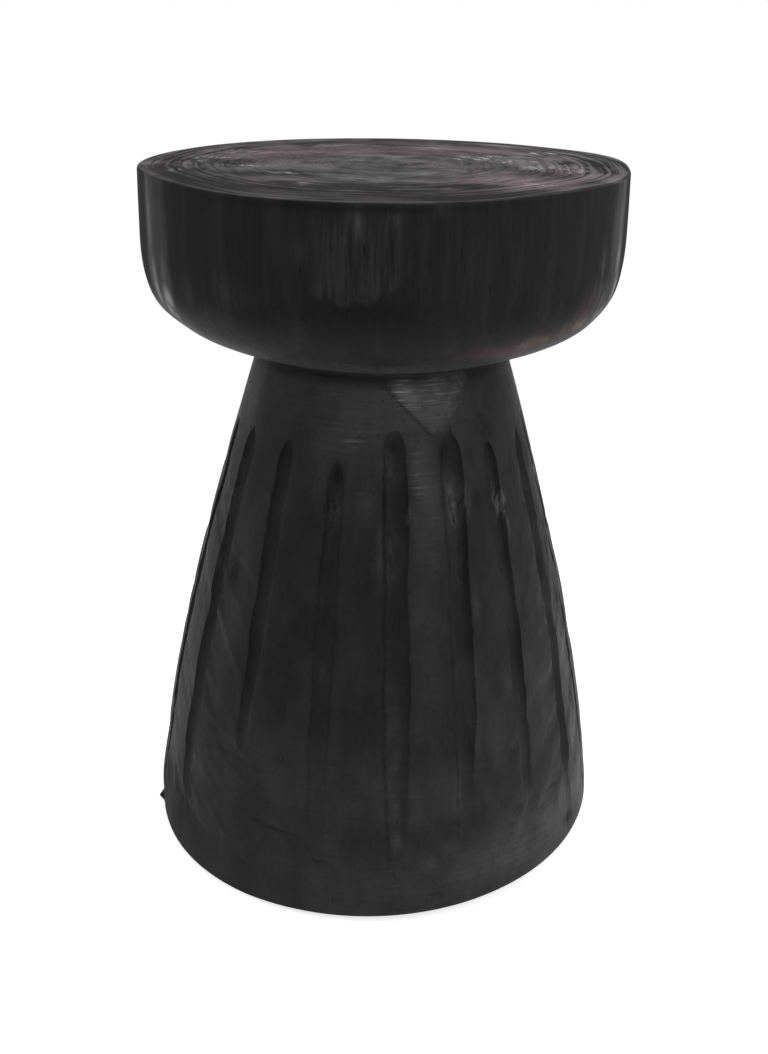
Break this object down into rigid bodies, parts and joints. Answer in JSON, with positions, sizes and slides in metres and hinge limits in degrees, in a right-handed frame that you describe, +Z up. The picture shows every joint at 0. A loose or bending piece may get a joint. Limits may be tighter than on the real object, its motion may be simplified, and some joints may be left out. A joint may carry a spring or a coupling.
{
  "type": "low stool",
  "caption": "Low round stool of black-stained wood: a bowl-shaped turned seat head on a waisted pedestal carved with upright flutes.",
  "frame": {"origin": "on the floor, under the middle of the stool", "axes": "+Z up along the turning axis, -Y towards the front that the picture shows"},
  "size_m": [0.315, 0.3148, 0.453],
  "materials": {
    "head_wood": "black stain, satin, fine grain, rubbed brown patches on the seat",
    "pedestal_wood": "black stain, dull satin, gouge marks, edges rubbed paler",
    "peg_wood": "bare beech, glued",
    "glide_plastic": "matt moulded plastic",
    "glide_felt": "pressed grey wool felt",
    "glide_steel": "plain steel nail"
  },
  "bodies": {
    "root": {"seat_head": "head_wood", "pedestal": "pedestal_wood", "neck_tenon": "peg_wood", "neck_dowel_1": "peg_wood", "neck_dowel_2": "peg_wood", "neck_dowel_3": "peg_wood", "glide_cup_1": "glide_plastic", "glide_cup_2": "glide_plastic", "glide_cup_3": "glide_plastic", "glide_cup_4": "glide_plastic", "glide_felt_1": "glide_felt", "glide_felt_2": "glide_felt", "glide_felt_3": "glide_felt", "glide_felt_4": "glide_felt", "glide_nail_1": "glide_steel", "glide_nail_2": "glide_steel", "glide_nail_3": "glide_steel", "glide_nail_4": "glide_steel"}
  },
  "joints": []
}
